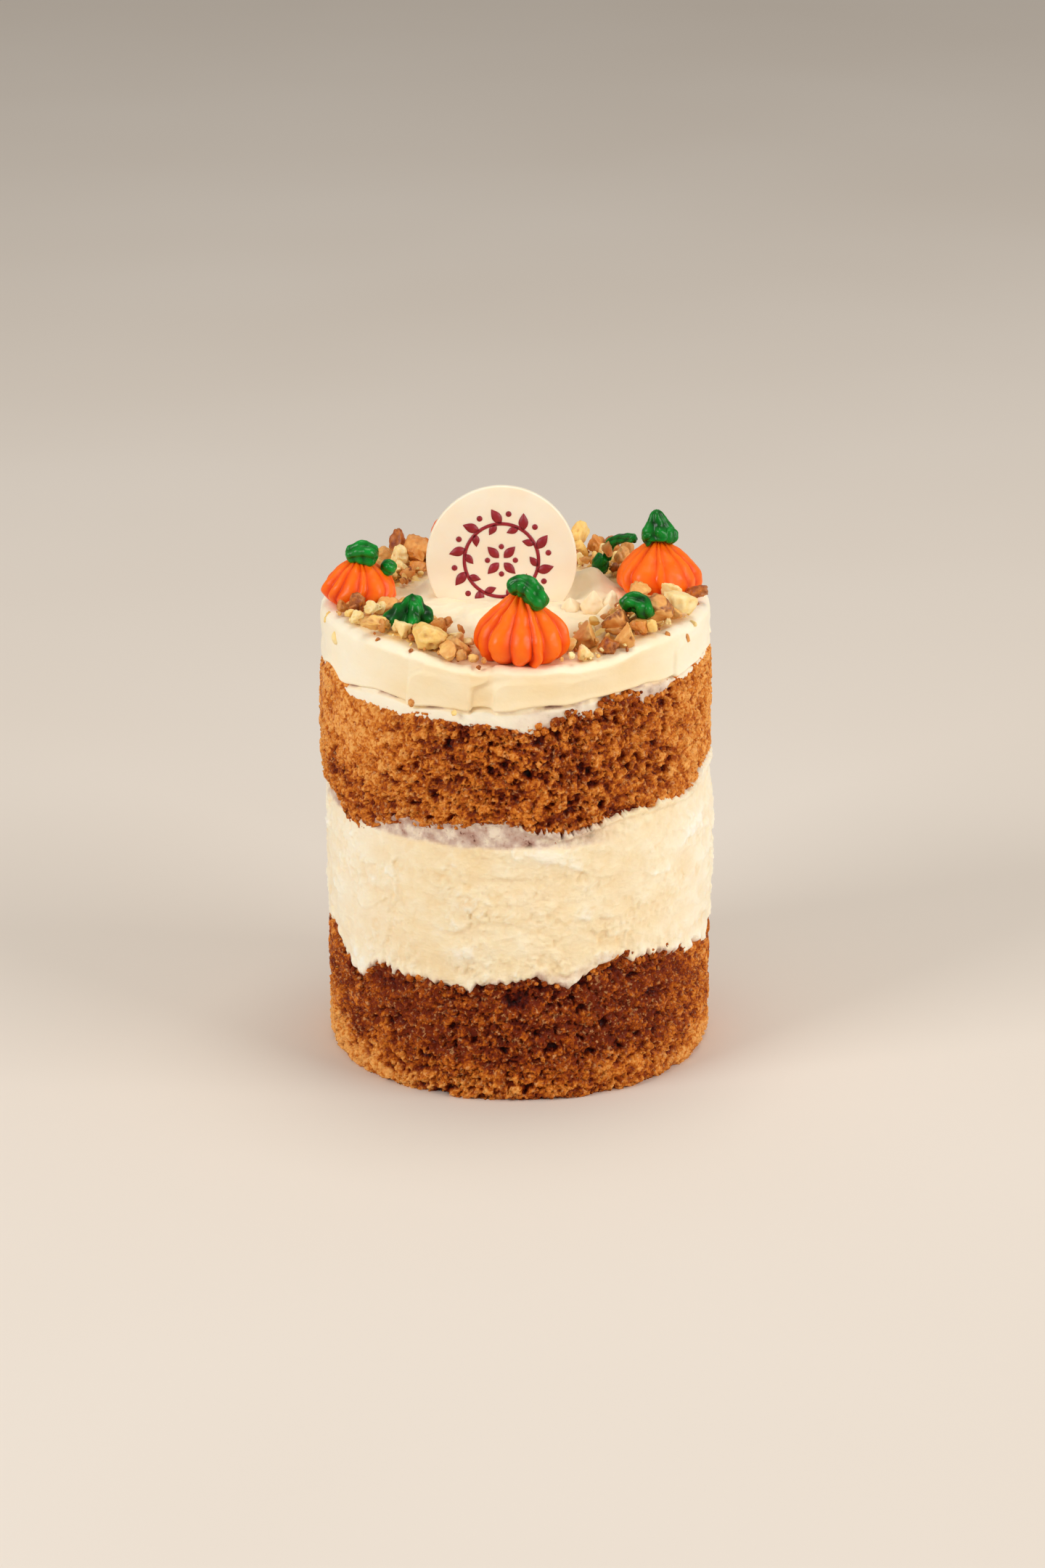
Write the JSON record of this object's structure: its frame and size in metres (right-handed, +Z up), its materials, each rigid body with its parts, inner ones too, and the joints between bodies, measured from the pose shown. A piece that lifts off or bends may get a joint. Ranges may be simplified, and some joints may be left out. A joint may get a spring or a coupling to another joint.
{
  "type": "pumpkin cake",
  "caption": "Tall round layer cake of pumpkin sponge and cream, topped with piped icing pumpkins, chopped walnuts and a white chocolate disc.",
  "frame": {"origin": "middle of the cake's flat base, on the surface it stands on", "axes": "+Z up, -Y the front with the large pumpkin, +X the right side seen from the front"},
  "size_m": [0.1032, 0.1031, 0.1503],
  "materials": {
    "sponge_dark": "matte",
    "sponge_gold": "matte",
    "cream": "satin",
    "icing_orange": "satin",
    "icing_green": "satin",
    "walnut": "matte",
    "white_chocolate": "satin"
  },
  "bodies": {
    "root": {"sponge_lower": "sponge_dark", "cream_filling": "cream", "sponge_upper": "sponge_gold", "cream_top": "cream", "pumpkin_front": "icing_orange", "pumpkin_left": "icing_orange", "pumpkin_right": "icing_orange", "pumpkin_back": "icing_orange", "stem_front": "icing_green", "stem_left": "icing_green", "stem_right": "icing_green", "stem_back": "icing_green", "leaf_left": "icing_green", "leaf_front_left": "icing_green", "leaf_front_right": "icing_green", "leaf_back_right": "icing_green", "nuts_front_left": "walnut", "nuts_front_right": "walnut", "nuts_back_right": "walnut", "nuts_back_left": "walnut", "chocolate_disc": "white_chocolate"}
  },
  "joints": []
}
